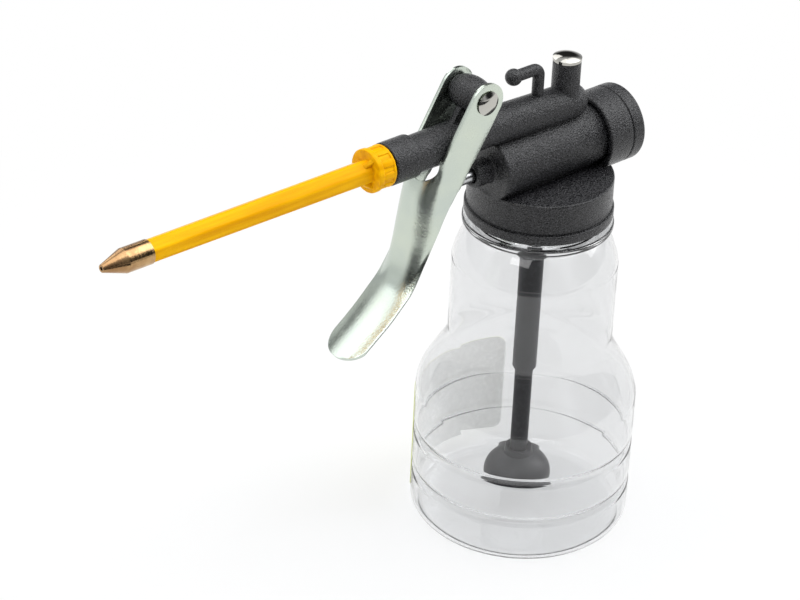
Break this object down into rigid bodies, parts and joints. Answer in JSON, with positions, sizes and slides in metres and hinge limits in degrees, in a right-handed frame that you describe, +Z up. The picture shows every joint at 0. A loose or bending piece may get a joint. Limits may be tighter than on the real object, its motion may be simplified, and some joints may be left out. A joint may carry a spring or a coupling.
{
  "type": "oil can",
  "caption": "Hand pump oil can: clear waisted bottle, screw-on plastic pump head with a sprung plunger, pressed trigger, and a long rigid spout with a brass nozzle.",
  "frame": {"origin": "centre of the bottle's flat underside", "axes": "+Z up along the bottle's axis, -X along the spout, so the trigger is on the -X side; +Y across the pump"},
  "size_m": [0.2048, 0.0725, 0.1698],
  "materials": {
    "clear_plastic": "clear blown plastic, glossy",
    "label_paper": "plain film label, matt",
    "black_plastic": "black moulded plastic with a fine grain",
    "black_tube_plastic": "smooth black plastic",
    "rubber": "black nitrile rubber",
    "steel": "bright turned steel",
    "zinc_plate": "zinc plated pressed steel, semi-bright",
    "bright_plate": "bright plated steel",
    "white_plastic": "natural white plastic",
    "yellow_plastic": "yellow-orange moulded plastic, satin gloss",
    "brass": "turned brass",
    "strainer": "perforated steel disc"
  },
  "bodies": {
    "bottle": {"bottle": "clear_plastic", "label": "label_paper"},
    "head": {"pump_head": "black_plastic", "neck_gasket": "rubber", "suction_tube": "black_tube_plastic", "dip_tube": "black_tube_plastic", "foot": "black_tube_plastic", "foot_screen": "strainer", "rod_seal": "rubber", "valve_plug": "bright_plate", "outlet_spring": "steel", "return_spring": "steel"},
    "trigger": {"trigger": "zinc_plate", "trigger_rivet": "bright_plate"},
    "plunger": {"plunger_rod": "steel", "piston": "white_plastic", "piston_ring": "rubber", "piston_nut": "steel"},
    "spout": {"spout": "yellow_plastic", "spout_seal": "rubber", "nozzle": "brass"},
    "end_cap": {"end_cap": "black_plastic", "end_cap_seal": "rubber"},
    "outlet_ball": {"outlet_ball": "steel"},
    "inlet_ball": {"inlet_ball": "steel"}
  },
  "joints": [
    {"name": "head_lift", "type": "slide", "parent": "bottle", "child": "head", "axis": [0, 0, 1], "range_m": [0, 0.108]},
    {"name": "trigger_pivot", "type": "hinge", "parent": "head", "child": "trigger", "pos_m": [-0.0316, 0, 0.1635], "axis": [0, -1, 0], "range_deg": [0, 20], "stiffness_Nm_per_rad": 0.5, "springref_deg": -20.05},
    {"name": "plunger_slide", "type": "slide", "parent": "head", "child": "plunger", "axis": [1, 0, 0], "range_m": [0, 0.0113], "deforming": ["return_spring"]},
    {"name": "spout_turn", "type": "hinge", "parent": "head", "child": "spout", "pos_m": [-0.069, 0, 0.1498], "axis": [-1, 0, 0], "range_deg": [0, 360]},
    {"name": "end_cap_turn", "type": "hinge", "parent": "head", "child": "end_cap", "pos_m": [0.029, 0, 0.1346], "axis": [1, 0, 0], "range_deg": [0, 360]},
    {"name": "outlet_ball_lift", "type": "slide", "parent": "head", "child": "outlet_ball", "axis": [0, 0, 1], "range_m": [0, 0.001], "stiffness_N_per_m": 80, "springref_m": -0.003, "deforming": ["outlet_spring"]},
    {"name": "inlet_ball_lift", "type": "slide", "parent": "head", "child": "inlet_ball", "axis": [0, 0, 1], "range_m": [0, 0.001]}
  ],
  "couplings": [
    {"joint": "plunger_slide", "follows": "trigger_pivot", "m_per_rad": 0.0322}
  ]
}
